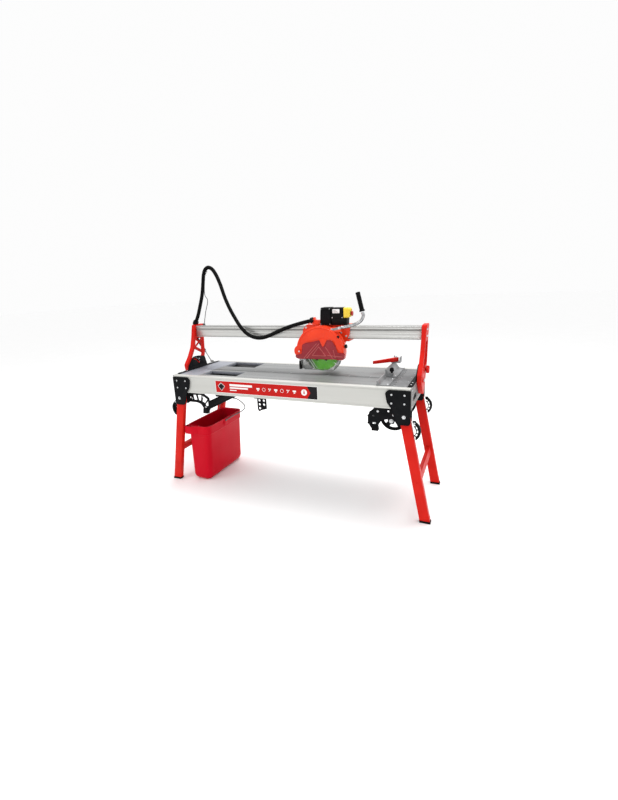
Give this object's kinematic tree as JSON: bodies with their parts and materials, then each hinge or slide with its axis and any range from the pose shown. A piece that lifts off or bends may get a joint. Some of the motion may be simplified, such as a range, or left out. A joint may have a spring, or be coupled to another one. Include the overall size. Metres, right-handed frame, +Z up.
{
  "type": "rail tile cutter",
  "caption": "Wet tile cutter with a long slotted table on folding legs, a tilting rail bridge, a sliding plunge saw head, hose and bucket.",
  "frame": {"origin": "on the floor, under the middle of the table", "axes": "+X along the table to its wheel end, +Y to the back, +Z up"},
  "size_m": [1.8684, 0.562, 1.5122],
  "materials": {
    "red_paint": "satin powder coat",
    "orange_gloss": "glossy moulding",
    "aluminium": "satin anodised",
    "plank": "fine brushed",
    "black_coat": "black powder coat",
    "rubber": "matt",
    "black_plastic": "fine grain",
    "steel": "zinc plated",
    "chrome": "polished",
    "crimson": "satin moulding",
    "blade_green": "green coated disc",
    "smoke": "smoked clear plastic",
    "yellow": "satin",
    "stop_red": "gloss"
  },
  "bodies": {
    "table": {"front_beam": "aluminium", "rear_beam": "aluminium", "left_end_profile": "aluminium", "right_end_profile": "aluminium", "front_plank": "plank", "rear_plank": "plank", "left_end_plate": "plank", "right_end_plate": "plank", "left_quadrant": "black_coat", "right_quadrant": "black_coat", "water_tray": "steel", "drain_spout": "black_plastic", "front_left_bracket": "black_coat", "front_right_bracket": "black_coat", "rear_left_bracket": "black_coat", "rear_right_bracket": "black_coat", "left_arm_frame": "black_coat", "right_arm_frame": "black_coat", "front_catch_bracket": "black_coat", "rear_catch_bracket": "black_coat", "wheel_axle": "steel", "front_fence": "aluminium", "rear_fence": "aluminium"},
    "left_legs": {"left_leg_frame": "red_paint", "front_left_foot": "rubber", "rear_left_foot": "rubber"},
    "right_legs": {"right_leg_frame": "red_paint", "front_right_foot": "rubber", "rear_right_foot": "rubber"},
    "lever_front_left": {"front_left_lock_lever": "black_plastic"},
    "lever_rear_left": {"rear_left_lock_lever": "black_plastic"},
    "lever_front_right": {"front_right_lock_lever": "black_plastic"},
    "lever_rear_right": {"rear_right_lock_lever": "black_plastic"},
    "wheel_front": {"front_wheel": "black_plastic"},
    "wheel_rear": {"rear_wheel": "black_plastic"},
    "bridge": {"left_upright": "red_paint", "right_upright": "red_paint", "rail": "aluminium", "wire_support": "steel", "conduit": "rubber"},
    "strut_lower": {"strut_rod": "steel"},
    "strut_upper": {"strut_tube": "black_coat"},
    "tilt_lock": {"tilt_knob": "orange_gloss"},
    "carriage": {"carriage": "orange_gloss", "switch_box": "black_plastic"},
    "flap": {"switch_flap": "yellow"},
    "button": {"stop_button": "stop_red"},
    "window": {"guard_window": "smoke"},
    "head": {"guard_housing": "orange_gloss", "motor": "black_coat", "handle_tube": "chrome", "handle_grip": "rubber"},
    "blade": {"blade": "blade_green", "arbor": "steel"},
    "fence_lock": {"fence_knob": "black_plastic"},
    "side_stop": {"stop_slider": "aluminium"},
    "angle_arm": {"stop_arm": "red_paint"},
    "bucket": {"bucket": "crimson"},
    "bail": {"bail": "steel"}
  },
  "joints": [
    {"name": "left_leg_fold", "type": "hinge", "parent": "table", "child": "left_legs", "pos_m": [-0.769, 0, 0.64], "axis": [0, -1, 0], "range_deg": [0, 101.8]},
    {"name": "right_leg_fold", "type": "hinge", "parent": "table", "child": "right_legs", "pos_m": [0.769, 0, 0.64], "axis": [0, 1, 0], "range_deg": [0, 101.8]},
    {"name": "front_left_lever", "type": "hinge", "parent": "left_legs", "child": "lever_front_left", "pos_m": [-0.824, -0.252, 0.606], "axis": [0, 1, 0], "range_deg": [0, 25], "stiffness_Nm_per_rad": 1},
    {"name": "front_right_lever", "type": "hinge", "parent": "right_legs", "child": "lever_front_right", "pos_m": [0.824, -0.252, 0.606], "axis": [0, -1, 0], "range_deg": [0, 25], "stiffness_Nm_per_rad": 1},
    {"name": "rear_left_lever", "type": "hinge", "parent": "left_legs", "child": "lever_rear_left", "pos_m": [-0.824, 0.252, 0.606], "axis": [0, 1, 0], "range_deg": [0, 25], "stiffness_Nm_per_rad": 1},
    {"name": "rear_right_lever", "type": "hinge", "parent": "right_legs", "child": "lever_rear_right", "pos_m": [0.824, 0.252, 0.606], "axis": [0, -1, 0], "range_deg": [0, 25], "stiffness_Nm_per_rad": 1},
    {"name": "front_wheel_roll", "type": "hinge", "parent": "table", "child": "wheel_front", "pos_m": [0.69, -0.15, 0.593], "axis": [0, 1, 0], "continuous": true},
    {"name": "rear_wheel_roll", "type": "hinge", "parent": "table", "child": "wheel_rear", "pos_m": [0.69, 0.15, 0.593], "axis": [0, 1, 0], "continuous": true},
    {"name": "bridge_tilt", "type": "hinge", "parent": "table", "child": "bridge", "pos_m": [0, -0.05, 0.8], "axis": [1, 0, 0], "range_deg": [0, 45]},
    {"name": "strut_swing", "type": "hinge", "parent": "table", "child": "strut_lower", "pos_m": [-0.85, 0.231, 0.8], "axis": [1, 0, 0], "range_deg": [-1, 24]},
    {"name": "strut_extend", "type": "slide", "parent": "strut_lower", "child": "strut_upper", "axis": [0, -0.5803, 0.8144], "range_m": [-0.002, 0.16]},
    {"name": "tilt_knob_turn", "type": "hinge", "parent": "bridge", "child": "tilt_lock", "pos_m": [0.855, 0.04, 0.845], "axis": [1, 0, 0], "range_deg": [0, 360]},
    {"name": "carriage_run", "type": "slide", "parent": "bridge", "child": "carriage", "axis": [-1, 0, 0], "range_m": [-0.417, 0.815], "deforming": ["conduit"]},
    {"name": "head_plunge", "type": "hinge", "parent": "carriage", "child": "head", "pos_m": [0.072, -0.05, 0.955], "axis": [0, 1, 0], "range_deg": [0, 15]},
    {"name": "guard_lift", "type": "hinge", "parent": "carriage", "child": "window", "pos_m": [0.072, -0.0745, 0.955], "axis": [0, 1, 0], "range_deg": [-20, 0]},
    {"name": "blade_spin", "type": "hinge", "parent": "head", "child": "blade", "pos_m": [0.208, -0.05, 0.955], "axis": [0, 1, 0], "continuous": true},
    {"name": "flap_open", "type": "hinge", "parent": "carriage", "child": "flap", "pos_m": [0.3445, 0.051, 1.184], "axis": [0, 0, 1], "range_deg": [0, 90]},
    {"name": "stop_press", "type": "slide", "parent": "flap", "child": "button", "axis": [-1, 0, 0], "range_m": [0, 0.005], "stiffness_N_per_m": 400},
    {"name": "fence_knob_turn", "type": "hinge", "parent": "table", "child": "fence_lock", "pos_m": [0.642, 0.002, 0.84], "axis": [0, 0, 1], "range_deg": [0, 360]},
    {"name": "stop_slide", "type": "slide", "parent": "table", "child": "side_stop", "axis": [0, 1, 0], "range_m": [-0.08, 0]},
    {"name": "stop_swivel", "type": "hinge", "parent": "side_stop", "child": "angle_arm", "pos_m": [0.628, 0.208, 0.866], "axis": [0, 0, 1], "range_deg": [-45, 40]},
    {"name": "bucket_away", "type": "slide", "parent": "table", "child": "bucket", "axis": [1, 0, 0], "range_m": [0, 0.9]},
    {"name": "bail_swing", "type": "hinge", "parent": "bucket", "child": "bail", "pos_m": [-0.69, -0.02, 0.41], "axis": [1, 0, 0], "range_deg": [0, 48]}
  ],
  "couplings": [
    {"joint": "strut_swing", "follows": "bridge_tilt", "ratio": 0.465},
    {"joint": "strut_extend", "follows": "bridge_tilt", "m_per_rad": 0.1947},
    {"joint": "bucket_away", "follows": "left_leg_fold", "m_per_rad": 0.5}
  ]
}
